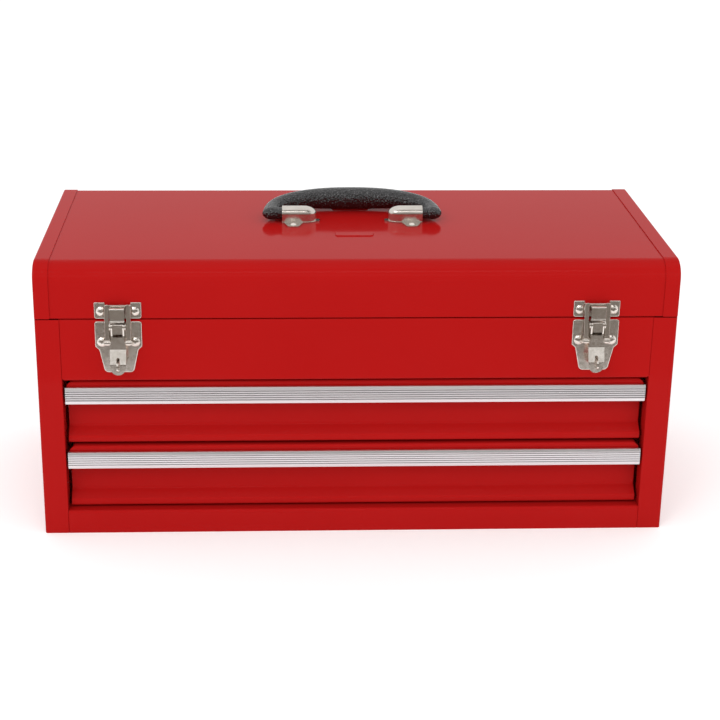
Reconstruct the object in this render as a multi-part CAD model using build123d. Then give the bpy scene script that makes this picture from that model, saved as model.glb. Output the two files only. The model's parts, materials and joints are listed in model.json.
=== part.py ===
import os
from math import asin, atan2, copysign, cos, degrees, pi, sin

from build123d import *

# Two-drawer portable tool box, in millimetres
# X runs to the right, Y to the back and Z up, from the middle of the base

# The box
box_width = 520.0
box_depth = 220.0
case_height = 191.0
lid_height = 46.4
lid_gap = 0.6
sheet = 0.8
bend_radius = 2.2
seam = 0.15
edge_bend = 0.9
overrun = 2.0

# Case panels
post_width = 20.0
post_return = 14.0
back_flange = 15.0
upper_panel_height = 53.0
panel_lip = 12.0
panel_relief = 1.4
sill_height = 20.5
sill_lip = 16.0
sill_drop = 8.0
base_flange = 14.0
floor_flange = 12.0
back_lip = 10.0
upright_depth = 26.0
upright_foot = 10.0
upright_back_gap = 24.0
upright_front_gap = 34.0

# Drawer slides
slide_sheet = 1.0
slide_height = 30.0
slide_depth = 9.0
slide_lip = 2.2
slide_stack = 12.0
slide_back_gap = 18.2
slide_setback = 16.0
slide_rise = 24.0
slide_overlap = 30.5
slide_bend = 1.6
slide_lip_bend = 1.3
ball_radius = 2.5
ball_clearance = 0.1
ball_inset = 5.0
balls_in_row = 3
runner_tip_gap = 3.0
cage_sheet = 0.8
cage_clearance = 0.5
cage_reach = 5.9
cage_end_gap = 2.0

# Drawers
drawer_gap = 1.6
front_side_gap = 2.4
front_corner = 6.0
front_top_recess = 4.5
front_top_drop = 0.8
front_top_land = 4.5
front_return = 12.0
nose_recess = 3.2
nose_drop = 7.6
nose_height = 8.0
nose_throat = 6.5
face_recess = 14.5
crease_height = 12.7
lip_recess = 6.5
lip_height = 6.0
front_bend = 2.6
tray_drop = 12.45
tray_back_gap = 22.7
tray_back_drop = 4.0
pull_height = 14.4
pull_drop = 4.9
pull_side_gap = 1.8
pull_set_back = 0.2
pull_band = 2.4
pull_band_fall = 0.9
groove_count = 5
groove_depth = 0.7
groove_share = 0.5

# Lid
lid_front_radius = 15.0
lid_back_radius = 7.0
lid_lip = 10.0
cap_flange = 12.4
cap_bend = 1.6
cap_edge = 0.6
cap_lip = 9.0
pad_length = 32.6
pad_depth = 10.2
pad_height = 0.8
pad_wall_lean = 40
pad_corner = 2.5
pad_reach = 38.6

# Piano hinge
hinge_inset = 18.0
hinge_leaf = 18.0
hinge_sheet = 1.0
knuckle_count = 19
knuckle_gap = 0.3
barrel_radius = 2.6
barrel_clearance = 0.3
hinge_pin_radius = 1.4
pin_clearance = 0.05

# Handle and its brackets
handle_pivot_y = 7.6
handle_pivot_rise = 7.3
bow_half = 69.8
bow_reach = 34.1
bow_power = 4.0
neck_radius = 5.6
grip_radius = 9.7
grip_clearance = 0.3
bow_end_shares = (0.0, 0.04, 0.08, 0.115, 0.15, 0.19, 0.25, 0.36)
trunnion_clearance = 0.3
trunnion_length = 24.0
bracket_radius = 6.5
bracket_sheet = 1.2
bracket_gap = 9.2
bracket_length = 29.6
bracket_nose = 11.0
bracket_rim = 1.1
tab_width = 17.0
tab_tip_width = 9.0
tab_length = 12.6
tab_corner = 3.0
tab_inset = 1.2
tab_rivet_share = 0.5
ear_width = 7.0
ear_length = 3.0
ear_corner = 2.6

# Draw latches
latch_inset = 67.0
latch_sheet = 1.2
latch_width = 37.8
latch_corner = 2.0
latch_edge = 0.8
base_top_gap = 1.0
base_height = 44.0
base_shoulder = 21.5
shoulder_height = 3.0
shoulder_step = 3.1
base_foot_width = 23.4
base_foot_corner = 4.0
base_rivet_drop = 18.5
strike_gap = 0.5
strike_height = 13.9
strike_notch = 2.0
strike_tab_width = 8.7
strike_top_corner = 0.8
strike_rivet_rise = 6.9
rivet_offset = 13.3
hook_width = 11.8
hook_rise = 11.7
hook_root = 5.0
hook_bend = 1.6
hook_lip_run = 2.4
hook_lip_rise = 0.7
hook_lip_bend = 2.4
hook_fold = 1.3
hook_face_splay = 0.3
hook_face_height = 10.3
hook_kick = 1.6
hook_kick_out = 0.8
bar_swing_gap = 2.6
lever_pivot_out = 5.2
lever_pivot_drop = 3.6
lever_throw = 14.0
lever_length = 39.2
lever_knuckle = 3.6
lever_pin_radius = 1.5
lever_sheet = 1.2
lever_half = 5.3
lever_top_half = 4.6
lever_face_out = 8.0
lever_face_top = 8.4
brow_rise = 3.2
brow_drop = 5.6
brow_corner = 1.6
lever_flare = 3.4
ramp_top = 18.4
ramp_bottom = 30.4
ramp_half = 6.5
lever_end_out = 12.6
lever_end_radius = 5.9
lever_bend = 2.0
cheek_out_shares = (0.2125, 0.275, 0.625, 0.925, 0.925, 1.075)
cheek_drop_shares = (0.0, 0.342, 0.449, 0.462, 0.189, 0.0)
ear_radius = 3.4
ear_sheet = 1.0
ear_clearance = 0.3
lever_pin_end = 0.1
bail_half = 10.4
bail_leg = 3.4
bail_bend = 2.4
bail_window_corner = 1.4
bail_bar = 1.4
bail_dip = 1.2
bail_dip_half = 6.6
bail_dip_bend = 1.6
bail_sheet = 1.8
bail_bar_out = 2.9
bail_rest = 0.25
bail_eye = 2.4
bail_foot_inner = 6.4
bail_foot_top = 3.6
bail_foot_corner = 1.9
bail_edge = 0.35
bail_pin_radius = 1.3
bail_pin_head = 2.1
bail_pin_head_height = 0.7
bail_side_gap = 0.3
staple_sheet = 1.6
staple_out = 18.4
staple_height = 7.0
staple_drop = 30.8
eye_radius = 2.0
eye_out = 15.6
staple_corner = 2.6
slot_width = 2.6
slot_margin = 2.4

# Rivets
rivet_head = 4.0
rivet_dome = 1.6
rivet_shank = 1.6
rivet_tail = 2.6
rivet_tail_height = 0.8
rivet_clearance = 0.05
tab_rivet_head = 2.9
tab_rivet_dome = 1.4

# Planes and heights that several pieces share
half_width = box_width / 2
half_depth = box_depth / 2
front = -half_depth
inner_half = half_width - sheet
opening_half = half_width - post_width
opening_top = case_height - upper_panel_height
back_inside = half_depth - 2 * sheet
lid_bottom = case_height + lid_gap
lid_top = lid_bottom + lid_height
lid_sheet_top = lid_top - sheet
lid_front = front + sheet
drawer_height = (opening_top - sill_height - 3 * drawer_gap) / 2
drawer_bottoms = {
    "upper": opening_top - drawer_gap - drawer_height,
    "lower": sill_height + drawer_gap,
}
slide_front = front + face_recess + sheet + slide_setback
slide_back = half_depth - slide_back_gap
runner_face = opening_half - slide_stack
hinge_y = half_depth - sheet + barrel_radius + barrel_clearance
hinge_z = case_height + lid_gap / 2
hinge_length = box_width - 2 * hinge_inset
handle_pivot_z = lid_sheet_top + handle_pivot_rise
bracket_end = bow_half - bracket_gap
grip_centre_z = lid_sheet_top + pad_height + grip_clearance + grip_radius
handle_rest_angle = degrees(asin((grip_centre_z - handle_pivot_z) / bow_reach))
lever_pivot_z = case_height - lever_pivot_drop
bail_pivot_z = lever_pivot_z - lever_throw
hook_shelf_z = lid_bottom + hook_rise
bail_bar_z = hook_shelf_z + bail_rest
bail_top = bail_bar_z + bail_bar + bail_dip
bail_lean = degrees(atan2(lever_pivot_out - bail_bar_out, bail_bar_z - bail_pivot_z))
latch_x = half_width - latch_inset
staple_z = lever_pivot_z - staple_drop
base_rivet_z = case_height - base_rivet_drop
strike_rivet_z = lid_bottom + strike_rivet_rise


# Helpers

def folded(points, radii, thickness):
    # Section of a sheet folded along points, its thickness on the left of the run
    line = FilletPolyline(*points, radius=radii)
    return make_face(offset(line, amount=thickness, side=Side.LEFT, closed=True).edges())


def run_x(section, start, end):
    # Carry a section drawn as (Y, Z) along X
    return extrude(Plane.YZ.offset(start) * section, end - start)


def run_y(section, start, end):
    # Carry a section drawn as (X, Z) along Y
    return extrude(Plane.XZ.offset(-end) * section, end - start)


def run_z(section, start, end):
    # Carry a section drawn as (X, Y) along Z
    return extrude(Plane.XY.offset(start) * section, end - start)


def block(x_range, y_range, z_range):
    # Box between two corners
    size = [b - a for a, b in (x_range, y_range, z_range)]
    centre = [(a + b) / 2 for a, b in (x_range, y_range, z_range)]
    return Pos(*centre) * Box(*size)


def mirrored(solid):
    return solid.mirror(Plane.YZ)


def both_sides(solid):
    return [solid, mirrored(solid)]


def cross_pin(radius, start, end, y, z):
    # Round bar along X
    return Pos((start + end) / 2, y, z) * Rot(0, 90, 0) * Cylinder(radius, end - start)


def rivet(head, dome, grip):
    # Domed head above the origin, shank and upset tail below it
    arc = TangentArc((0, dome), (head, 0), tangent=(1, 0))
    sides = Polyline(
        (head, 0),
        (rivet_shank, 0),
        (rivet_shank, -grip),
        (rivet_tail, -grip),
        (rivet_tail, -grip - rivet_tail_height),
        (0, -grip - rivet_tail_height),
        (0, dome),
    )
    return revolve(Plane.XZ * make_face([arc, *sides.edges()]), Axis.Z)


def rivet_hole(depth):
    return Cylinder(rivet_shank + rivet_clearance, 2 * (depth + overrun))


def facing_front(x, y, z):
    # Place that turns +Z to the front
    return Pos(x, y, z) * Rot(90, 0, 0)


def save(name, shape):
    export_step(shape, f"parts/{name}.step")


# Case

def make_side_panel():
    section = folded(
        [
            (opening_half, front + post_return),
            (opening_half, front),
            (half_width, front),
            (half_width, half_depth),
            (half_width - back_flange, half_depth),
        ],
        [edge_bend, bend_radius, bend_radius],
        sheet,
    )
    return run_z(section, 0, case_height)


def post_notches():
    # Room for the two folded posts in a plate that lies between the side panels
    corner = block(
        (opening_half - seam, half_width),
        (front - overrun, front + post_return + seam),
        (-overrun, case_height + overrun),
    )
    return both_sides(corner)


def make_back_panel():
    outside = half_depth - sheet
    section = folded(
        [(outside, 0), (outside, case_height), (outside - back_lip, case_height)],
        bend_radius,
        sheet,
    )
    half = inner_half - bend_radius + sheet
    return run_x(section, -half, half)


def make_bottom_panel():
    section = folded(
        [(front + sheet, base_flange), (front + sheet, 0), (back_inside, 0), (back_inside, base_flange)],
        bend_radius,
        sheet,
    )
    return run_x(section, seam - inner_half, inner_half - seam) - post_notches()


def make_upper_front_panel():
    section = folded(
        [
            (front + panel_lip, case_height),
            (front, case_height),
            (front, opening_top),
            (front + panel_lip, opening_top),
        ],
        [edge_bend, bend_radius],
        sheet,
    )
    panel = run_x(section, seam - opening_half, opening_half - seam)
    relief = block(
        (opening_half - panel_relief, opening_half),
        (front - overrun, front + panel_lip + overrun),
        (opening_top - overrun, opening_top + panel_relief),
    )
    return panel - both_sides(relief) - latch_rivet_holes(front, base_rivet_z)


def make_front_sill():
    section = folded(
        [
            (front + sill_lip, sill_height - sill_drop),
            (front + sill_lip, sill_height),
            (front, sill_height),
            (front, 0),
        ],
        bend_radius,
        sheet,
    )
    return run_x(section, seam - opening_half, opening_half - seam)


def make_compartment_floor():
    floor = opening_top + sheet
    half = inner_half - seam
    section = folded(
        [(-half, floor + floor_flange), (-half, floor), (half, floor), (half, floor + floor_flange)],
        bend_radius,
        sheet,
    )
    return run_y(section, front + bend_radius, back_inside) - post_notches()


def make_upright(start):
    # Top-hat channel on the side panel that carries the slides
    end = start + upright_depth
    face = opening_half + sheet
    section = folded(
        [
            (inner_half, start - upright_foot),
            (inner_half, start),
            (face, start),
            (face, end),
            (inner_half, end),
            (inner_half, end + upright_foot),
        ],
        bend_radius,
        sheet,
    )
    return run_z(section, sheet, opening_top + sheet)


# Drawer slides

def make_rail(centre):
    inner = opening_half - slide_depth
    half = slide_height / 2
    section = folded(
        [
            (inner, centre - half + slide_lip),
            (inner, centre - half),
            (opening_half, centre - half),
            (opening_half, centre + half),
            (inner, centre + half),
            (inner, centre + half - slide_lip),
        ],
        [slide_lip_bend, slide_bend, slide_bend, slide_lip_bend],
        slide_sheet,
    )
    return run_y(section, slide_front, slide_back)


ball_rise = slide_height / 2 - slide_sheet - ball_clearance - ball_radius


def make_runner(centre):
    tip = opening_half - runner_tip_gap
    half = ball_rise - ball_radius - ball_clearance
    section = folded(
        [
            (tip, centre + half),
            (runner_face, centre + half),
            (runner_face, centre - half),
            (tip, centre - half),
        ],
        slide_bend,
        slide_sheet,
    )
    return run_y(section, slide_front, slide_back)


cage_length = slide_overlap - 2 * cage_end_gap
cage_middle = (slide_front + slide_back) / 2


def ball_places(centre):
    step = cage_length / balls_in_row
    first = cage_middle - step * (balls_in_row - 1) / 2
    return [
        Pos(opening_half - ball_inset, first + step * index, centre + level)
        for level in (-ball_rise, ball_rise)
        for index in range(balls_in_row)
    ]


def make_cage(centre):
    web = opening_half - slide_sheet - cage_clearance
    half = ball_rise + cage_sheet / 2
    section = folded(
        [
            (web - cage_reach, centre - half),
            (web, centre - half),
            (web, centre + half),
            (web - cage_reach, centre + half),
        ],
        slide_bend,
        cage_sheet,
    )
    cage = run_y(section, cage_middle - cage_length / 2, cage_middle + cage_length / 2)
    hole = Cylinder(ball_radius + ball_clearance, 2 * cage_sheet + overrun)
    return cage - [place * hole for place in ball_places(centre)]


def make_balls(centre):
    return [place * Sphere(ball_radius) for place in ball_places(centre)]


# Drawers

def make_drawer_front(bottom):
    top = bottom + drawer_height - front_top_drop
    nose_top = top - nose_drop
    nose_bottom = nose_top - nose_height
    section = folded(
        [
            (front + front_top_recess + front_return, top),
            (front + front_top_recess, top),
            (front + front_top_recess, top - front_top_land),
            (front + nose_recess, nose_top),
            (front + nose_recess, nose_bottom),
            (front + face_recess, nose_bottom - nose_throat),
            (front + face_recess, bottom + crease_height),
            (front + lip_recess, bottom + lip_height),
            (front + lip_recess, bottom),
            (front + face_recess + front_return, bottom),
        ],
        [bend_radius, front_bend, front_bend, front_bend, front_bend, front_bend, front_bend, bend_radius],
        sheet,
    )
    half = opening_half - front_side_gap
    panel = run_x(section, -half, half)
    tall = top - bottom + 2 * front_corner
    outline = Pos(0, top - tall / 2) * RectangleRounded(2 * half, tall, front_corner)
    rounded = run_y(outline, front, front + face_recess + 2 * front_return)
    return panel & rounded


def make_drawer_tray(bottom):
    floor = bottom + sheet
    top = bottom + drawer_height - tray_drop
    section = folded(
        [(-runner_face, top), (-runner_face, floor), (runner_face, floor), (runner_face, top)],
        bend_radius,
        sheet,
    )
    start = front + face_recess + sheet
    end = half_depth - tray_back_gap
    walls = run_y(section, start, end)
    inside = runner_face - sheet
    back = block((-inside, inside), (end - sheet, end), (floor, top - tray_back_drop))
    return walls + back


def make_pull(bottom):
    top = bottom + drawer_height - pull_drop
    low = top - pull_height
    face = front + pull_set_back
    back = front + nose_recess
    ribbed = pull_height - 2 * pull_band
    pitch = ribbed / groove_count
    half_groove = pitch * groove_share / 2
    outline = [(back, low), (back, top), (face + pull_band_fall, top), (face, top - pull_band)]
    for index in range(groove_count):
        middle = top - pull_band - pitch * (index + 1 / 2)
        outline += [
            (face, middle + half_groove),
            (face + groove_depth, middle),
            (face, middle - half_groove),
        ]
    outline += [(face, low + pull_band), (face + pull_band_fall, low)]
    section = make_face(Polyline(*outline, close=True).edges())
    half = opening_half - pull_side_gap
    return run_x(section, -half, half)


# Lid

def raised(outline, level):
    # Embossed rest whose walls lean in
    return extrude(Plane.XY.offset(level) * outline, pad_height, taper=pad_wall_lean)


def make_lid_sheet():
    back = half_depth - sheet
    section = folded(
        [
            (back, lid_bottom),
            (back, lid_sheet_top),
            (lid_front, lid_sheet_top),
            (lid_front, lid_bottom),
            (lid_front + lid_lip, lid_bottom),
        ],
        [lid_back_radius - sheet, lid_front_radius - sheet, edge_bend],
        sheet,
    )
    cover = run_x(section, -inner_half, inner_half)
    underside = lid_sheet_top - sheet
    pad = RectangleRounded(pad_length, pad_depth, pad_corner)
    for way in (-1, 1):
        place = Pos(0, handle_pivot_y + way * pad_reach)
        cover += raised(place * pad, lid_sheet_top)
        cover -= raised(place * pad, underside)
    cover -= latch_rivet_holes(lid_front, strike_rivet_z)
    return cover - [place * rivet_hole(sheet) for place in tab_rivet_places(lid_sheet_top)]


def lid_outline(inset, low):
    line = FilletPolyline(
        (front + inset, low),
        (front + inset, lid_top - inset),
        (half_depth - inset, lid_top - inset),
        (half_depth - inset, low),
        radius=[lid_front_radius - inset, lid_back_radius - inset],
    )
    return make_face([*line.edges(), Line(line @ 1, line @ 0)])


def make_lid_end_cap():
    start = half_width - cap_flange
    cap = run_x(lid_outline(0, lid_bottom), start, half_width)
    end_face = cap.faces().sort_by(Axis.X)[-1]
    rim = [edge for edge in end_face.edges() if edge.center().Z > lid_bottom + cap_bend]
    cap = fillet(rim, cap_bend)
    foot = [edge for edge in cap.edges().group_by(Axis.Z)[0] if abs(edge.center().Y) > half_depth - sheet]
    cap = fillet(foot, cap_edge)
    cap -= run_x(lid_outline(sheet, lid_bottom - overrun), start - overrun, inner_half)
    lip = block(
        (half_width - cap_lip, inner_half),
        (lid_front + lid_lip + seam, back_inside - seam),
        (lid_bottom, lid_bottom + sheet),
    )
    return cap + lip


# Piano hinge

def hinge_knuckles(way, remainder):
    # Alternate knuckles of one leaf, rolled from a strip that meets the leaf's plate
    face = half_depth - sheet
    root = barrel_radius + 2 * barrel_clearance
    strip_z = sorted((hinge_z, hinge_z + way * root))
    strip = make_face(
        Polyline(
            (face, strip_z[0]),
            (face + hinge_sheet, strip_z[0]),
            (face + hinge_sheet, strip_z[1]),
            (face, strip_z[1]),
            close=True,
        ).edges()
    )
    section = strip + Pos(hinge_y, hinge_z) * Circle(barrel_radius)
    section -= Pos(hinge_y, hinge_z) * Circle(hinge_pin_radius + pin_clearance)
    pitch = hinge_length / knuckle_count
    knuckles = []
    for index in range(remainder, knuckle_count, 2):
        start = -hinge_length / 2 + pitch * index
        knuckles.append(run_x(section, start + knuckle_gap / 2, start + pitch - knuckle_gap / 2))
    return knuckles


def make_hinge_leaf(way, remainder):
    face = half_depth - sheet
    root = barrel_radius + 2 * barrel_clearance
    plate = block(
        (-hinge_length / 2, hinge_length / 2),
        (face, face + hinge_sheet),
        sorted((hinge_z + way * root, hinge_z + way * hinge_leaf)),
    )
    return plate + hinge_knuckles(way, remainder)


def make_hinge_pin():
    return cross_pin(hinge_pin_radius, -hinge_length / 2, hinge_length / 2, hinge_y, hinge_z)


# Handle

def bow_section(share):
    # Round section square to a superellipse, at a share of the half turn, swelling to the middle
    angle = pi * share
    x_term = (abs(cos(angle)) / bow_half) ** bow_power
    y_term = (sin(angle) / bow_reach) ** bow_power
    reach = (x_term + y_term) ** (-1 / bow_power)
    x = reach * cos(angle)
    y = reach * sin(angle)
    slope_x = copysign((abs(x) / bow_half) ** (bow_power - 1) / bow_half, x)
    slope_y = (y / bow_reach) ** (bow_power - 1) / bow_reach
    radius = neck_radius + (grip_radius - neck_radius) * (y / bow_reach) ** bow_power
    return Plane(origin=(x, y, 0), x_dir=(0, 0, 1), z_dir=(-slope_y, slope_x, 0)) * Circle(radius)


def make_handle():
    # Bow with round heels and a trunnion at each end, turned down to rest on the lid's pad
    shares = [*bow_end_shares, 1 / 2, *[1 - share for share in reversed(bow_end_shares)]]
    handle = loft([bow_section(share) for share in shares])
    trunnion_radius = bracket_radius - bracket_sheet - trunnion_clearance
    for way in (-1, 1):
        handle += Pos(way * bow_half, 0, 0) * Sphere(neck_radius)
        ends = sorted((way * bow_half, way * (bow_half - trunnion_length)))
        handle += cross_pin(trunnion_radius, ends[0], ends[1], 0, 0)
    return Pos(0, handle_pivot_y, handle_pivot_z) * Rot(handle_rest_angle, 0, 0) * handle


def bracket_form(radius, start, end, low):
    # Arched tunnel along X with a round nose at its inner end
    rise = handle_pivot_z - low
    arch = Pos(handle_pivot_y, low + rise / 2) * Rectangle(2 * radius, rise)
    arch += Pos(handle_pivot_y, handle_pivot_z) * Circle(radius)
    length = bracket_nose + radius - bracket_radius
    nose = run_z(Pos(start, handle_pivot_y) * Ellipse(length, radius), low, handle_pivot_z)
    quarter = Ellipse(length, radius) & Pos(-length / 2, radius / 2) * Rectangle(length, radius)
    tip = Pos(start, handle_pivot_y, handle_pivot_z) * revolve(Plane.XZ * quarter, Axis.X)
    return run_x(arch, start, end) + nose + tip


tab_x = bracket_end - tab_inset - tab_width / 2
tab_rivet_reach = bracket_radius + tab_length * tab_rivet_share


def tab_rivet_places(level):
    return [
        Pos(side * tab_x, handle_pivot_y + way * tab_rivet_reach, level)
        for side in (-1, 1)
        for way in (-1, 1)
    ]


def make_bracket():
    nose_x = bracket_end - bracket_length + bracket_nose
    low = lid_sheet_top
    shell = bracket_form(bracket_radius, nose_x, bracket_end, low)
    rim = Pos(nose_x, handle_pivot_y) * Ellipse(bracket_nose + bracket_rim, bracket_radius + bracket_rim)
    straight = bracket_end - nose_x
    rim_width = 2 * (bracket_radius + bracket_rim)
    rim += Pos(nose_x + straight / 2, handle_pivot_y) * Rectangle(straight, rim_width)
    rim &= Pos(nose_x, handle_pivot_y) * Rectangle(2 * straight, box_depth)
    shell += run_z(rim, low, low + bracket_sheet)
    tab_tip = bracket_radius + tab_length
    for way in (-1, 1):
        outline = Polyline(
            (tab_x - tab_width / 2, handle_pivot_y),
            (tab_x + tab_width / 2, handle_pivot_y),
            (tab_x + tab_width / 2, handle_pivot_y + way * bracket_radius),
            (tab_x + tab_tip_width / 2, handle_pivot_y + way * tab_tip),
            (tab_x - tab_tip_width / 2, handle_pivot_y + way * tab_tip),
            (tab_x - tab_width / 2, handle_pivot_y + way * bracket_radius),
            close=True,
        )
        tab = make_face(outline.edges())
        tip_corners = [v for v in tab.vertices() if abs(v.Y - handle_pivot_y) > bracket_radius + tab_corner]
        shell += run_z(fillet(tip_corners, tab_corner), low, low + bracket_sheet)
    ear_start = bracket_end - bracket_length - ear_length
    ear = Pos((ear_start + nose_x) / 2, handle_pivot_y) * Rectangle(nose_x - ear_start, ear_width)
    shell += run_z(fillet(ear.vertices().group_by(Axis.X)[0], ear_corner), low, low + bracket_sheet)
    shell -= bracket_form(bracket_radius - bracket_sheet, nose_x, bracket_end + overrun, low - overrun)
    return shell - [place * rivet_hole(sheet) for place in tab_rivet_places(low)]


def make_bracket_rivets():
    grip = bracket_sheet + sheet
    top = lid_sheet_top + bracket_sheet
    return [place * rivet(tab_rivet_head, tab_rivet_dome, grip) for place in tab_rivet_places(top)]


# Draw latches, drawn about the middle plane and moved to each side

def out(distance, z):
    # Point at a distance out from the case's front plane
    return (front - distance, z)


def outline_face(points):
    return make_face(Polyline(*points, close=True).edges())


def latch_rivet_places(y, z):
    return [facing_front(way * rivet_offset, y, z) for way in (-1, 1)]


def latch_rivet_holes(y, z):
    holes = [place * rivet_hole(sheet + latch_sheet) for place in latch_rivet_places(y, z)]
    return [Pos(side * latch_x, 0, 0) * hole for side in (-1, 1) for hole in holes]


def make_latch_rivets(y, z):
    head = rivet(rivet_head, rivet_dome, sheet + latch_sheet)
    heads = [place * head for place in latch_rivet_places(y - latch_sheet, z)]
    return [Pos(side * latch_x, 0, 0) * placed for side in (-1, 1) for placed in heads]


def pivot_at(z):
    return Pos(front - lever_pivot_out, z)


def soften_front(plate):
    # Round the stamped plate's front edge
    return fillet(plate.faces().sort_by(Axis.Y)[0].edges(), latch_edge)


def make_latch_base():
    top = case_height - base_top_gap
    shoulder = top - base_shoulder
    half = latch_width / 2
    right = [
        (half, top),
        (half, shoulder),
        (half - shoulder_step, shoulder - shoulder_height),
        (base_foot_width / 2, top - base_height),
    ]
    left = [(-x, z) for x, z in reversed(right)]
    outline = outline_face(right + left)
    feet = outline.vertices().group_by(Axis.Y)[0]
    outline = fillet(feet, base_foot_corner)
    outline = fillet(outline.vertices().group_by(Axis.Y)[-1], latch_corner)
    plate = soften_front(run_y(outline, front - latch_sheet, front))
    ear_section = pivot_at(lever_pivot_z) * Circle(ear_radius)
    ear_section += outline_face(
        [
            out(latch_sheet / 2, lever_pivot_z - ear_radius),
            out(lever_pivot_out, lever_pivot_z - ear_radius),
            out(lever_pivot_out, lever_pivot_z + lever_pivot_drop - base_top_gap),
            out(latch_sheet / 2, lever_pivot_z + lever_pivot_drop - base_top_gap),
        ]
    )
    ear_section -= pivot_at(lever_pivot_z) * Circle(lever_pin_radius + pin_clearance)
    inner = lever_half + ear_clearance
    plate += both_sides(run_x(ear_section, inner, inner + ear_sheet))
    return plate - [place * rivet_hole(latch_sheet) for place in latch_rivet_places(front, base_rivet_z)]


def make_lever_pin():
    end = lever_half + ear_clearance + ear_sheet + lever_pin_end
    return cross_pin(lever_pin_radius, -end, end, front - lever_pivot_out, lever_pivot_z)


def make_staple():
    section = outline_face(
        [
            out(latch_sheet, staple_z - staple_height / 2),
            out(staple_out, staple_z - staple_height / 2),
            out(staple_out, staple_z + staple_height / 2),
            out(latch_sheet, staple_z + staple_height / 2),
        ]
    )
    section = fillet(section.vertices().group_by(Axis.X)[0], staple_corner)
    section -= Pos(front - eye_out, staple_z) * Circle(eye_radius)
    return run_x(section, -staple_sheet / 2, staple_sheet / 2)


def make_lever():
    # Stamped channel rolled round its pin, with a ramp and a slotted round end that stand off the base
    end = lever_pivot_z - lever_length
    face = folded(
        [
            out(lever_face_out, lever_pivot_z - lever_face_top),
            out(lever_face_out, lever_pivot_z - ramp_top),
            out(lever_end_out, lever_pivot_z - ramp_bottom),
            out(lever_end_out, end),
        ],
        lever_bend,
        lever_sheet,
    )
    round_z = end + lever_end_radius
    top = lever_pivot_z - lever_face_top
    right = [
        (lever_top_half, top),
        (lever_half, top - lever_flare),
        (ramp_half, lever_pivot_z - ramp_top),
        (ramp_half, lever_pivot_z - ramp_bottom),
        (lever_end_radius, round_z),
    ]
    left = [(-x, z) for x, z in reversed(right)]
    outline = outline_face(right + left) + Pos(0, round_z) * Circle(lever_end_radius)
    lever = run_x(face, -ramp_half, ramp_half)
    lever &= run_y(outline, front - lever_end_out - overrun, front)
    cheek = outline_face(
        [
            out(lever_face_out * out_share, lever_pivot_z - lever_length * drop_share)
            for out_share, drop_share in zip(cheek_out_shares, cheek_drop_shares)
        ]
    )
    cheek += pivot_at(lever_pivot_z) * Circle(lever_knuckle)
    cheek -= pivot_at(bail_pivot_z) * Circle(bail_pin_radius + pin_clearance)
    inner = lever_half - lever_sheet
    lever += both_sides(run_x(cheek, inner, lever_half))
    lever += cross_pin(lever_knuckle, -inner, inner, front - lever_pivot_out, lever_pivot_z)
    brow = outline_face(
        [
            out(lever_pivot_out, lever_pivot_z + brow_rise),
            out(lever_pivot_out + lever_knuckle, lever_pivot_z + brow_rise),
            out(lever_pivot_out + lever_knuckle, lever_pivot_z - brow_drop),
            out(lever_pivot_out + lever_knuckle - lever_sheet, lever_pivot_z - brow_drop),
            out(lever_pivot_out + lever_knuckle - lever_sheet, lever_pivot_z),
            out(lever_pivot_out, lever_pivot_z),
        ]
    )
    brow_edge = brow.vertices().group_by(Axis.Y)[-1].sort_by(Axis.X)[0]
    lever += run_x(fillet([brow_edge], brow_corner), -inner, inner)
    bore = lever_pin_radius + pin_clearance
    lever -= cross_pin(bore, -lever_half, lever_half, front - lever_pivot_out, lever_pivot_z)
    slot = Pos(0, staple_z) * SlotOverall(staple_height + 2 * slot_margin, slot_width, rotation=90)
    return lever - run_y(slot, front - lever_end_out - overrun, front)


def make_bail_pins():
    y = front - lever_pivot_out
    neck = bail_half + bail_side_gap
    pin = cross_pin(bail_pin_radius, lever_half - lever_sheet, neck, y, bail_pivot_z)
    pin += cross_pin(bail_pin_head, neck, neck + bail_pin_head_height, y, bail_pivot_z)
    return both_sides(pin)


def make_bail():
    # Stamped frame whose top bar dips to the hook, with a rolled eye at each foot
    bar = bail_bar_z - bail_pivot_z
    top = bail_top - bail_pivot_z
    right = [
        (bail_half, -bail_eye),
        (bail_half, top),
        (bail_dip_half, top - bail_dip),
    ]
    left = [(-x, z) for x, z in reversed(right)]
    line = FilletPolyline(*right, *left, radius=[bail_bend, bail_dip_bend, bail_dip_bend, bail_bend])
    outline = make_face([*line.edges(), Line(line @ 1, line @ 0)])
    window_low = -bail_eye - overrun
    window = Pos(0, (window_low + bar) / 2) * Rectangle(2 * (bail_half - bail_leg), bar - window_low)
    outline -= fillet(window.vertices().group_by(Axis.Y)[-1], bail_window_corner)
    toe = Rectangle(bail_half - bail_foot_inner, bail_foot_top + bail_eye)
    toe_middle = (bail_half + bail_foot_inner) / 2
    for way in (-1, 1):
        outline += Pos(way * toe_middle, (bail_foot_top - bail_eye) / 2) * toe
    outline = fillet(outline.vertices().group_by(Axis.Y)[0], bail_foot_corner)
    bail = run_y(outline, -bail_sheet / 2, bail_sheet / 2)
    faces = bail.faces().sort_by(Axis.Y)
    bail = fillet([edge for face in (faces[0], faces[-1]) for edge in face.edges()], bail_edge)
    bail += run_x(Circle(bail_eye), -bail_half, bail_half) & run_y(outline, -bail_eye, bail_eye)
    bail -= run_x(Circle(bail_pin_radius + pin_clearance), -bail_half, bail_half)
    return Pos(0, front - lever_pivot_out, bail_pivot_z) * Rot(-bail_lean, 0, 0) * bail


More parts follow.
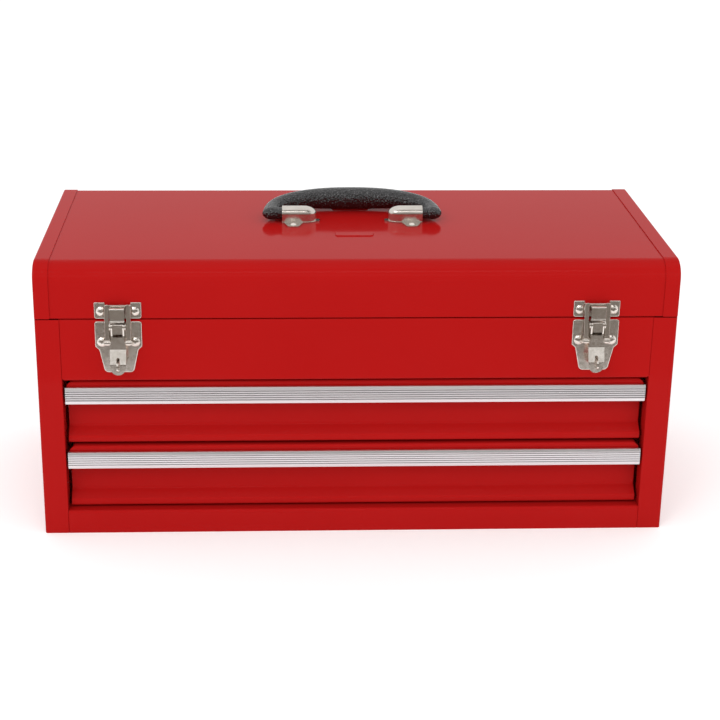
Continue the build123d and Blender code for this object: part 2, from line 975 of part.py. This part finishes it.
def make_strike():
    # Riveted plate whose middle rises and folds over into the hook that the bail pulls down
    low = lid_bottom + strike_gap
    top = low + strike_height
    half = latch_width / 2
    notch = half - strike_tab_width
    plate = outline_face(
        [
            (-half, low),
            (half, low),
            (half, top),
            (notch, top),
            (notch, top - strike_notch),
            (-notch, top - strike_notch),
            (-notch, top),
            (-half, top),
        ]
    )
    corners = [v for v in plate.vertices() if abs(v.X) > notch + latch_corner]
    plate = fillet([v for v in corners if v.Y > strike_rivet_z], strike_top_corner)
    plate = fillet(plate.vertices().group_by(Axis.Y)[0], latch_corner)
    plate = soften_front(run_y(plate, lid_front - latch_sheet, lid_front))
    lip_start = bail_bar_out + bail_sheet / 2 + bar_swing_gap
    lip_end = lip_start + hook_lip_run
    face_end = hook_shelf_z + hook_lip_rise - hook_face_height
    hook = folded(
        [
            out(-sheet, hook_shelf_z - hook_root),
            out(-sheet, hook_shelf_z),
            out(lip_start, hook_shelf_z),
            out(lip_end, hook_shelf_z + hook_lip_rise),
            out(lip_end + hook_face_splay, face_end),
            out(lip_end + hook_face_splay + hook_kick_out, face_end - hook_kick),
        ],
        [hook_bend, hook_lip_bend, hook_fold, hook_bend],
        latch_sheet,
    )
    plate += run_x(hook, -hook_width / 2, hook_width / 2)
    holes = [place * rivet_hole(latch_sheet) for place in latch_rivet_places(lid_front, strike_rivet_z)]
    return plate - holes


# Write every piece

os.makedirs("parts", exist_ok=True)

sides = {"left": -1, "right": 1}


def save_pair(name, right_hand):
    save(f"{name}_left", mirrored(right_hand))
    save(f"{name}_right", right_hand)


def save_latch(name, pieces):
    for side, sign in sides.items():
        moved = [Pos(sign * latch_x, 0, 0) * piece for piece in pieces]
        save(f"{name}_{side}", moved[0] if len(moved) == 1 else Compound(moved))


save_pair("side_panel", make_side_panel())
save("back_panel", make_back_panel())
save("bottom_panel", make_bottom_panel())
save("upper_front_panel", make_upper_front_panel())
save("front_sill", make_front_sill())
save("compartment_floor", make_compartment_floor())
save_pair("front_upright", make_upright(front + upright_front_gap))
save_pair("rear_upright", make_upright(back_inside - upright_back_gap - upright_depth))

for level, bottom in drawer_bottoms.items():
    centre = bottom + slide_rise
    save_pair(f"{level}_slide_rail", make_rail(centre))
    save_pair(f"{level}_drawer_runner", make_runner(centre))
    save(f"{level}_ball_cages", Compound(both_sides(make_cage(centre))))
    save(f"{level}_slide_balls", Compound([b for ball in make_balls(centre) for b in both_sides(ball)]))
    save(f"{level}_drawer_front", make_drawer_front(bottom))
    save(f"{level}_drawer_tray", make_drawer_tray(bottom))
    save(f"{level}_drawer_pull", make_pull(bottom))

save("lid_sheet", make_lid_sheet())
save_pair("lid_end_cap", make_lid_end_cap())
save("hinge_leaf_lid", make_hinge_leaf(1, 0))
save("hinge_leaf_case", make_hinge_leaf(-1, 1))
save("hinge_pin", make_hinge_pin())

save("handle", make_handle())
save_pair("handle_bracket", make_bracket())
save("handle_bracket_rivets", Compound(make_bracket_rivets()))

save_latch("latch_base", [make_latch_base()])
save_latch("latch_staple", [make_staple()])
save_latch("lever_pin", [make_lever_pin()])
save_latch("latch_lever", [make_lever()])
save_latch("bail_pins", make_bail_pins())
save_latch("latch_bail", [make_bail()])
save_latch("latch_strike", [make_strike()])
save("latch_base_rivets", Compound(make_latch_rivets(front, base_rivet_z)))
save("latch_strike_rivets", Compound(make_latch_rivets(lid_front, strike_rivet_z)))
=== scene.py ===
import json
import math
import bpy
import numpy as np
from mathutils import Matrix, Vector


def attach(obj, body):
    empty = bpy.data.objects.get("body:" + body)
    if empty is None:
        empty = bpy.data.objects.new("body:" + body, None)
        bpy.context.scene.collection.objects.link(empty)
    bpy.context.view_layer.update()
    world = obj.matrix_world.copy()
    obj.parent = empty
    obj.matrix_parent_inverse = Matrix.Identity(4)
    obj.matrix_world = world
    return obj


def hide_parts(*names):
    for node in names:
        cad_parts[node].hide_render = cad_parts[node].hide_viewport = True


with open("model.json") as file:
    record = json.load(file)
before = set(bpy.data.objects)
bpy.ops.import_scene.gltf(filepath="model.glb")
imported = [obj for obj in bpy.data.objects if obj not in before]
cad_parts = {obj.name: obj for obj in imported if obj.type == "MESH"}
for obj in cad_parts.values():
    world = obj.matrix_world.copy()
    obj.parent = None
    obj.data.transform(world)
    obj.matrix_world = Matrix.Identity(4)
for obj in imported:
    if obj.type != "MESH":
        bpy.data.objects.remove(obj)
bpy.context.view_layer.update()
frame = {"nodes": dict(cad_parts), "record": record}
scene = bpy.context.scene
scene.view_settings.view_transform = "Standard"
nodes = frame["nodes"]
print("frame loaded:", len(nodes), "CAD nodes")

# the span that most noise values fall in
noiseSpan = (0.3, 0.7)


# short ways to add shader nodes
def newMaterial(name):
    mat = bpy.data.materials.new(name)
    mat.use_nodes = True
    tree = mat.node_tree
    return mat, tree, tree.nodes["Principled BSDF"]


def feed(tree, shader, inputs):
    # a socket is linked, and anything else is set as the input's value
    for key, value in inputs.items():
        if isinstance(value, bpy.types.NodeSocket):
            tree.links.new(value, shader.inputs[key])
        else:
            shader.inputs[key].default_value = value


def node(tree, kind, inputs=None, **props):
    made = tree.nodes.new(kind)
    for key, value in props.items():
        setattr(made, key, value)
    feed(tree, made, inputs or {})
    return made


def combine(tree, operation, *values):
    return node(tree, "ShaderNodeMath", dict(enumerate(values)), operation=operation).outputs[0]


def objectCoords(tree):
    return node(tree, "ShaderNodeTexCoord").outputs["Object"]


def objectPlace(tree, scale=(1, 1, 1)):
    return node(tree, "ShaderNodeMapping",
                {"Vector": objectCoords(tree), "Scale": scale}).outputs["Vector"]


def noise(tree, place, scale, detail):
    return node(tree, "ShaderNodeTexNoise",
                {"Vector": place, "Scale": scale, "Detail": detail}).outputs["Fac"]


def spread(tree, value, to, span=noiseSpan):
    return node(tree, "ShaderNodeMapRange",
                {"Value": value, "From Min": span[0], "From Max": span[1],
                 "To Min": to[0], "To Max": to[1]}).outputs["Result"]


def twoTone(tree, value, first, second):
    ramp = node(tree, "ShaderNodeValToRGB", {"Fac": value})
    for stop, position, colour in zip(ramp.color_ramp.elements, noiseSpan, (first, second)):
        stop.position = position
        stop.color = (*colour, 1)
    return ramp.outputs["Color"]


def bumpFrom(tree, height, bump, under=None):
    # bump is a pair: the strength, and the height in metres
    inputs = {"Height": height, "Strength": bump[0], "Distance": bump[1]}
    if under is not None:
        inputs["Normal"] = under
    return node(tree, "ShaderNodeBump", inputs).outputs["Normal"]


paint = dict(light=(0.425, 0.0088, 0.0084), deep=(0.403, 0.0078, 0.0075), specular=0.034,
             driftScale=7.0, driftDetail=3.0,
             rough=(0.07, 0.14), roughScale=38.0, roughDetail=4.0,
             peelScale=520.0, peelDetail=2.0, peelBump=(0.05, 0.00012))


def makePaint():
    # gloss enamel: slow tone drift, and an orange peel of small noise waves
    mat, tree, bsdf = newMaterial("redEnamel")
    place = objectPlace(tree)
    drift = noise(tree, place, paint["driftScale"], paint["driftDetail"])
    wear = noise(tree, place, paint["roughScale"], paint["roughDetail"])
    peel = noise(tree, place, paint["peelScale"], paint["peelDetail"])
    feed(tree, bsdf, {
        "Base Color": twoTone(tree, drift, paint["deep"], paint["light"]),
        "Roughness": spread(tree, wear, paint["rough"]),
        "Specular IOR Level": paint["specular"],
        "Normal": bumpFrom(tree, peel, paint["peelBump"])})
    return mat


# the brackets' kind is the same plate made darker by its tone, as painted shade, and a little
# rougher
nickel = dict(light=(0.82, 0.765, 0.705), deep=(0.72, 0.665, 0.605),
              kinds={"nickelPlate": dict(tone=1.0, rough=(0.15, 0.25)),
                     "shadedSatinNickel": dict(tone=0.82, rough=(0.18, 0.26))},
              cloudScale=90.0, cloudDetail=3.0, roughScale=420.0, roughDetail=5.0,
              dentScale=240.0, dentDetail=1.0, dentBump=(0.05, 0.0003),
              drawnScale=(2600, 2600, 260), drawnDetail=3.0, drawnBump=(0.08, 0.0001))


def makeNickel(name):
    # plate over stamped steel: cloudy tone, drawn lines and a few shallow dents
    mat, tree, bsdf = newMaterial(name)
    kind = nickel["kinds"][name]
    place = objectPlace(tree)
    cloud = noise(tree, place, nickel["cloudScale"], nickel["cloudDetail"])
    wear = noise(tree, place, nickel["roughScale"], nickel["roughDetail"])
    dents = noise(tree, place, nickel["dentScale"], nickel["dentDetail"])
    drawn = noise(tree, objectPlace(tree, nickel["drawnScale"]), 1.0, nickel["drawnDetail"])
    deep, light = ([kind["tone"] * part for part in nickel[key]] for key in ("deep", "light"))
    dented = bumpFrom(tree, dents, nickel["dentBump"])
    feed(tree, bsdf, {
        "Base Color": twoTone(tree, cloud, deep, light),
        "Metallic": 1.0,
        "Roughness": spread(tree, wear, kind["rough"]),
        "Normal": bumpFrom(tree, drawn, nickel["drawnBump"], dented)})
    return mat


zinc = dict(light=(0.60, 0.61, 0.63), deep=(0.44, 0.45, 0.47), spangleScale=220.0,
            rough=(0.26, 0.42), roughScale=300.0, roughDetail=4.0,
            rolledScale=(1800, 90, 1800), rolledDetail=3.0, rolledBump=(0.12, 0.0001))


def makeZinc():
    # zinc plate: faint spangle cells and a rolled grain
    mat, tree, bsdf = newMaterial("zincSteel")
    place = objectPlace(tree)
    cells = node(tree, "ShaderNodeTexVoronoi",
                 {"Vector": place, "Scale": zinc["spangleScale"]}).outputs["Distance"]
    wear = noise(tree, place, zinc["roughScale"], zinc["roughDetail"])
    rolled = noise(tree, objectPlace(tree, zinc["rolledScale"]), 1.0, zinc["rolledDetail"])
    feed(tree, bsdf, {
        "Base Color": twoTone(tree, cells, zinc["deep"], zinc["light"]),
        "Metallic": 1.0,
        "Roughness": spread(tree, wear, zinc["rough"]),
        "Normal": bumpFrom(tree, rolled, zinc["rolledBump"])})
    return mat


# top is the pale colour of the painted highlight on the pebble tops, and valley the plastic's own
# black
plastic = dict(top=(0.125, 0.119, 0.126), valley=(0.006, 0.0056, 0.0062), specular=0.75,
               pebbleScale=640.0, pebbleSpan=(0.05, 0.5), pebbleBump=(1.0, -0.0010),
               fineScale=1500.0, fineDetail=3.0, fineSpan=(0.35, 0.65), fineBump=(0.25, 0.0003),
               rough=(0.28, 0.15))


def makePlastic():
    # moulded black plastic with a leather grain: round pebbles, with a painted highlight that
    # makes their tops pale, where this painted sparkle is the pebble's height times a fine noise
    mat, tree, bsdf = newMaterial("blackPlastic")
    place = objectPlace(tree)
    pebble = node(tree, "ShaderNodeTexVoronoi", {"Vector": place, "Scale": plastic["pebbleScale"]},
                  feature="SMOOTH_F1").outputs["Distance"]
    fine = noise(tree, place, plastic["fineScale"], plastic["fineDetail"])
    paintedSparkle = combine(tree, "MULTIPLY", spread(tree, pebble, (1.0, 0.0), plastic["pebbleSpan"]),
                     spread(tree, fine, (0.0, 1.0), plastic["fineSpan"]))
    pebbled = bumpFrom(tree, pebble, plastic["pebbleBump"])
    feed(tree, bsdf, {
        "Base Color": twoTone(tree, paintedSparkle, plastic["valley"], plastic["top"]),
        "Roughness": spread(tree, fine, plastic["rough"]),
        "Specular IOR Level": plastic["specular"],
        "Normal": bumpFrom(tree, fine, plastic["fineBump"], pebbled)})
    return mat


# ribTop is the height where the grooves start on each drawer's pull
# groove is the colour of the painted shade in each groove
aluminium = dict(light=(0.88, 0.855, 0.87), deep=(0.78, 0.755, 0.77), groove=(0.50, 0.48, 0.495),
                 ribTop={"upper": 0.1291, "lower": 0.07115}, pitch=0.00192, grooves=5,
                 grooveSpan=(0.24, 0.44), endBlur=0.05,
                 dieScale=(3, 900, 900), dieDetail=3.0, dieBump=(0.08, 0.0001), rough=(0.26, 0.40))


def makeAluminium(level):
    # satin extrusion: long die lines, and painted groove shade at a steady pitch down from the top
    # band.
    # the depth below the band over the pitch counts grooves; its distance to the nearest whole
    # number shapes each groove, and its distance to the middle count ends them
    mat, tree, bsdf = newMaterial(level + "PullAluminium")
    lines = noise(tree, objectPlace(tree, aluminium["dieScale"]), 1.0, aluminium["dieDetail"])
    satin = twoTone(tree, lines, aluminium["deep"], aluminium["light"])
    height = node(tree, "ShaderNodeSeparateXYZ", {"Vector": objectCoords(tree)}).outputs["Z"]
    down = combine(tree, "SUBTRACT", aluminium["ribTop"][level], height)
    ribs = combine(tree, "DIVIDE", down, aluminium["pitch"])
    wave = combine(tree, "PINGPONG", ribs, 0.5)
    middle = aluminium["grooves"] / 2
    apart = combine(tree, "ABSOLUTE", combine(tree, "SUBTRACT", ribs, middle))
    ends = (middle - aluminium["endBlur"], middle + aluminium["endBlur"])
    # the painted shade: dark in each groove, and none past the last groove
    paintedGrooveShade = combine(tree, "MULTIPLY", spread(tree, wave, (0.0, 1.0), aluminium["grooveSpan"]),
                   spread(tree, apart, (1.0, 0.0), ends))
    # a colour mix has its two colours at inputs 6 and 7, and its result at output 2
    colour = node(tree, "ShaderNodeMix", data_type="RGBA")
    feed(tree, colour, {"Factor": paintedGrooveShade, 6: satin, 7: (*aluminium["groove"], 1)})
    feed(tree, bsdf, {
        "Base Color": colour.outputs[2],
        "Metallic": 1.0,
        "Roughness": spread(tree, lines, aluminium["rough"]),
        "Normal": bumpFrom(tree, lines, aluminium["dieBump"])})
    return mat


finishes = {
    "red_paint": makePaint(),
    "nickel_plate": makeNickel("nickelPlate"),
    "zinc_steel": makeZinc(),
    "black_plastic": makePlastic(),
}
special = {level + "_drawer_pull": makeAluminium(level) for level in ("upper", "lower")}
# the handle's brackets take the darker copy of the plate: its lower tone is painted shade
shadedBracketNickel = makeNickel("shadedSatinNickel")
special.update({"handle_bracket_" + side: shadedBracketNickel for side in ("left", "right")})
slotOf = {part["node"]: part["material_slot"] for part in frame["record"]["subparts"]}
for name, obj in nodes.items():
    obj.data.materials.clear()
    obj.data.materials.append(special[name] if name in special else finishes[slotOf[name]])
print("finishes made:", len({mat.name for mat in [*finishes.values(), *special.values()]}))

# pivot is the bow's hinge line in y and z; at rest the bow's far side is restRise above it
handle = dict(pivot=(0.0076, 0.2445), restRise=0.0035, half=0.0694, reach=0.0341, power=2.8,
              neck=0.0056, grip=0.0097, heelWide=0.0082, stub=0.0050, stubEnd=0.0470,
              alongBow=220, alongCap=12, around=56, fineSteps=4000)


def tubeMesh(name, shells):
    # each shell: an ellipse of a wide and a high radius carried square to a flat path, with
    # both ends closed by a fan
    points, faces, start = [], [], 0
    for path, along, wide, high in shells:
        around, count = handle["around"], len(path)
        side = np.stack([along[:, 1], -along[:, 0]], axis=1)
        ring = np.arange(around)
        turn = ring * 2 * math.pi / around
        flat = path[:, None, :] + (wide[:, None] * np.cos(turn))[:, :, None] * side[:, None, :]
        rise = high[:, None] * np.sin(turn)[None, :]
        tips = np.array([[*path[0], 0.0], [*path[-1], 0.0]])
        points += [np.concatenate([flat, rise[:, :, None]], axis=2).reshape(-1, 3), tips]
        row, col = np.meshgrid(np.arange(count - 1), ring, indexing="ij")
        nextCol = (col + 1) % around
        quads = np.stack([row * around + col, row * around + nextCol,
                          (row + 1) * around + nextCol, (row + 1) * around + col], axis=-1)
        ringNext = (ring + 1) % around
        base, tip = (count - 1) * around, count * around
        first = np.stack([np.full(around, tip), ringNext, ring], axis=1)
        last = np.stack([np.full(around, tip + 1), base + ring, base + ringNext], axis=1)
        for part in (quads.reshape(-1, 4), first, last):
            faces += (part + start).tolist()
        start += count * around + 2
    mesh = bpy.data.meshes.new(name)
    mesh.from_pydata(np.concatenate(points).tolist(), [], faces)
    return mesh


def bowShell():
    # superellipse bow: x over half to the power, plus y over reach to the power, is one. its
    # section swells to the middle with one minus the square of x over half, is wide at the heels
    # with the square of one minus y over reach, and ends there in a half ellipsoid
    half, reach, power = handle["half"], handle["reach"], handle["power"]
    neck, heelWide = handle["neck"], handle["heelWide"]
    mirror = np.array([-1, 1])
    angle = np.linspace(0, math.pi / 2, handle["fineSteps"])
    radius = ((np.cos(angle) / half) ** power + (np.sin(angle) / reach) ** power) ** (-1 / power)
    fine = np.stack([radius * np.cos(angle), radius * np.sin(angle)], axis=1)
    steps = np.linalg.norm(np.diff(fine, axis=0), axis=1)
    gone = np.concatenate([[0], np.cumsum(steps)])
    want = np.linspace(0, gone[-1], handle["alongBow"] // 2)
    right = np.stack([np.interp(want, gone, fine[:, axis]) for axis in (0, 1)], axis=1)
    bow = np.concatenate([right, right[-2::-1] * mirror])
    high = neck + (handle["grip"] - neck) * np.clip(1 - (bow[:, 0] / half) ** 2, 0, 1)
    wide = high + (heelWide - neck) * (1 - bow[:, 1] / reach) ** 2
    turn = np.linspace(math.pi / 2, 0, handle["alongCap"], endpoint=False)[1:]
    cap = np.stack([np.full_like(turn, half), -neck * np.sin(turn)], axis=1)
    path = np.concatenate([cap, bow, cap[::-1] * mirror])
    along = np.gradient(path, axis=0)
    along /= np.linalg.norm(along, axis=1)[:, None]
    shrink, grow = np.cos(turn), np.cos(turn[::-1])
    wide = np.concatenate([heelWide * shrink, wide, heelWide * grow])
    high = np.concatenate([neck * shrink, high, neck * grow])
    return path, along, wide, high


def stubShell(way):
    # round stub from the heel into the bracket
    path = np.array([[way * handle["half"], 0.0], [way * handle["stubEnd"], 0.0]])
    along = np.array([[-way, 0.0], [-way, 0.0]])
    thick = np.full(2, handle["stub"])
    return path, along, thick, thick


def makeHandle():
    # the bow is made flat, then turned up by the angle whose sine is the rise over the reach
    mesh = tubeMesh("gripMesh", [bowShell(), stubShell(1), stubShell(-1)])
    pivotY, pivotZ = handle["pivot"]
    restTurn = math.asin(handle["restRise"] / handle["reach"])
    mesh.transform(Matrix.Translation((0, pivotY, pivotZ)) @ Matrix.Rotation(restTurn, 4, "X"))
    mesh.shade_smooth()
    mesh.materials.append(finishes["black_plastic"])
    grip = bpy.data.objects.new("carryGrip", mesh)
    scene.collection.objects.link(grip)
    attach(grip, "carry_handle")
    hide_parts("handle")


makeHandle()
print("handle shaped")

# lift is the floor's own glow and skySeen the sky's level, both where they are seen directly or
# in a reflection; skyLight is the level at which the sky lights things
stageSet = dict(floorSize=9.0, floorTone=0.92, lift=0.22, skyLight=0.94, skySeen=1.0)


def seenRays(tree):
    # one for a ray from the camera, a reflection or a refraction, and zero for one that lights
    path = node(tree, "ShaderNodeLightPath").outputs
    seen = combine(tree, "MAXIMUM", path["Is Camera Ray"], path["Is Glossy Ray"])
    return combine(tree, "MAXIMUM", seen, path["Is Transmission Ray"])


def makeSheet(name, corners, mat):
    mesh = bpy.data.meshes.new(name)
    mesh.from_pydata(corners, [], [(0, 1, 2, 3)])
    mesh.materials.append(mat)
    sheet = bpy.data.objects.new(name, mesh)
    scene.collection.objects.link(sheet)
    return sheet


def makeFloor():
    mat, tree, bsdf = newMaterial("paleFloor")
    tree.nodes.remove(bsdf)
    tone, half = stageSet["floorTone"], stageSet["floorSize"] / 2
    matte = node(tree, "ShaderNodeBsdfDiffuse", {"Color": (tone, tone, tone, 1)})
    lift = combine(tree, "MULTIPLY", seenRays(tree), stageSet["lift"])
    glow = node(tree, "ShaderNodeEmission", {"Strength": lift})
    both = node(tree, "ShaderNodeAddShader", {0: matte.outputs[0], 1: glow.outputs[0]})
    feed(tree, tree.nodes["Material Output"], {"Surface": both.outputs[0]})
    floor = makeSheet("floor", [(-half, -half, 0), (half, -half, 0),
                                (half, half, 0), (-half, half, 0)], mat)


def makeSky():
    world = bpy.data.worlds.new("studio")
    scene.world = world
    world.use_nodes = True
    tree = world.node_tree
    level = spread(tree, seenRays(tree), (stageSet["skyLight"], stageSet["skySeen"]), (0.0, 1.0))
    feed(tree, tree.nodes["Background"], {"Color": (1, 1, 1, 1), "Strength": level})


# floorHalf and wallHalf are half widths; ahead and nearBox are y, and the rest are heights
flags = dict(tone=(0.19, 0.168, 0.150), rough=0.9, floorHalf=1.6, wallHalf=2.4,
             ahead=-2.2, nearBox=-0.43, base=0.002, lowTop=0.80, highBase=1.32, highTop=4.5)


def flagWall(low, high):
    half, ahead = flags["wallHalf"], flags["ahead"]
    return [(-half, ahead, low), (-half, ahead, high), (half, ahead, high), (half, ahead, low)]


def makeFlags():
    # dark cards before the box, which only reflections see, so that bright metal has dark faces
    mat, tree, bsdf = newMaterial("darkCloth")
    feed(tree, bsdf, {"Base Color": (*flags["tone"], 1), "Roughness": flags["rough"],
                      "Specular IOR Level": 0.0})
    half, ahead, nearBox, base = (flags[key] for key in ("floorHalf", "ahead", "nearBox", "base"))
    cards = {
        "floorFlag": [(-half, ahead, base), (half, ahead, base),
                      (half, nearBox, base), (-half, nearBox, base)],
        "lowFlag": flagWall(base, flags["lowTop"]),
        "highFlag": flagWall(flags["highBase"], flags["highTop"]),
    }
    for name, corners in cards.items():
        card = makeSheet(name, corners, mat)
        card.visible_camera = False
        card.visible_diffuse = False
        card.visible_shadow = False
        card.visible_transmission = False


# shows says whether reflections see the lamp
softboxes = [
    dict(name="keyBox", place=(-1.1, -1.7, 1.7), aim=(0, 0, 0.12), size=(0.9, 0.9),
         watts=9.5, shows=True),
    dict(name="topBox", place=(0.1, -1.75, 1.75), aim=(0, 0, 0.2), size=(1.1, 0.36),
         watts=3.2, shows=True),
    dict(name="fillBox", place=(1.1, -2.1, 0.55), aim=(0, 0, 0.10), size=(1.4, 0.8),
         watts=4.5, shows=False),
]


def makeSoftbox(spec):
    light = bpy.data.lights.new(spec["name"], "AREA")
    light.shape = "RECTANGLE"
    light.size, light.size_y = spec["size"]
    light.energy = spec["watts"]
    lamp = bpy.data.objects.new(spec["name"], light)
    scene.collection.objects.link(lamp)
    way = Vector(spec["aim"]) - Vector(spec["place"])
    lamp.location = spec["place"]
    lamp.rotation_euler = way.to_track_quat("-Z", "Y").to_euler()
    lamp.visible_glossy = spec["shows"]


# focal, shift and frameSize are in pixels, place in metres, angles in radians, sensor in mm
eye = dict(focal=1574.026, place=(-0.071269, -1.294796, 0.640635), pitch=0.33353, yaw=-0.04122,
           roll=0.01053, shift=(28.8, -86.4), frameSize=720.0, sensor=36.0)


def makeCamera():
    # aim turned by yaw about Z, then pitched down, then rolled about the line of sight
    cosYaw, sinYaw = math.cos(eye["yaw"]), math.sin(eye["yaw"])
    cosPitch, sinPitch = math.cos(eye["pitch"]), math.sin(eye["pitch"])
    cosRoll, sinRoll = math.cos(eye["roll"]), math.sin(eye["roll"])
    across = Vector((cosYaw, sinYaw, 0))
    level = Vector((-sinYaw, cosYaw, 0))
    upright = Vector((0, 0, 1))
    ahead = level * cosPitch - upright * sinPitch
    above = level * sinPitch + upright * cosPitch
    right = across * cosRoll + above * sinRoll
    up = above * cosRoll - across * sinRoll
    data = bpy.data.cameras.new("photoCamera")
    data.sensor_width = eye["sensor"]
    data.lens = eye["focal"] / eye["frameSize"] * eye["sensor"]
    data.shift_x, data.shift_y = (shift / eye["frameSize"] for shift in eye["shift"])
    camera = bpy.data.objects.new("photoCamera", data)
    scene.collection.objects.link(camera)
    turn = Matrix((right, up, -ahead)).transposed().to_4x4()
    camera.matrix_world = Matrix.Translation(eye["place"]) @ turn
    scene.camera = camera


makeFloor()
makeFlags()
makeSky()
for spec in softboxes:
    makeSoftbox(spec)
makeCamera()
print("stage set:", len(softboxes), "softboxes")
